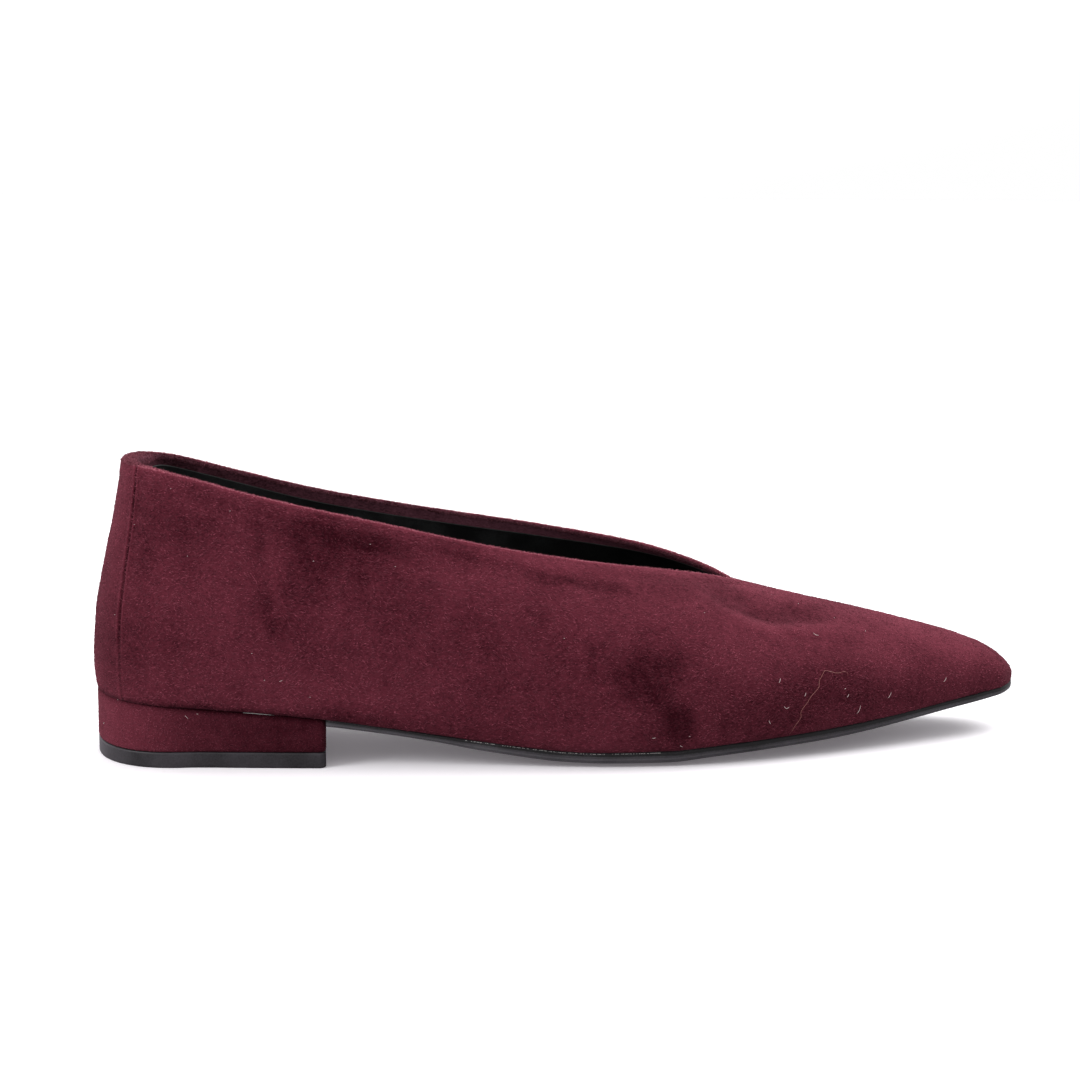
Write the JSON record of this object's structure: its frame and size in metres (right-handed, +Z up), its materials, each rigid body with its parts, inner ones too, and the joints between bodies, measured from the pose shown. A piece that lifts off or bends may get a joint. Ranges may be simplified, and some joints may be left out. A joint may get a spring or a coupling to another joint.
{
  "type": "ballet flat",
  "caption": "Pointed suede flat with a V throat, a thin outsole and a low covered block heel, for the right foot.",
  "frame": {"origin": "on the floor under the middle of the shoe's bounding box", "axes": "+X towards the toe, +Y towards the inner side of the foot, +Z up"},
  "size_m": [0.2612, 0.0762, 0.08],
  "materials": {
    "suede": "burgundy suede, brushed nap",
    "sock": "black smooth lining",
    "sole_rubber": "black, matte, fine lengthwise lines on its edge",
    "heel_rubber": "charcoal, smooth"
  },
  "bodies": {
    "root": {"upper": "suede", "insole": "sock", "outsole": "sole_rubber", "heel_block": "suede", "heel_top_piece": "heel_rubber"}
  },
  "joints": []
}
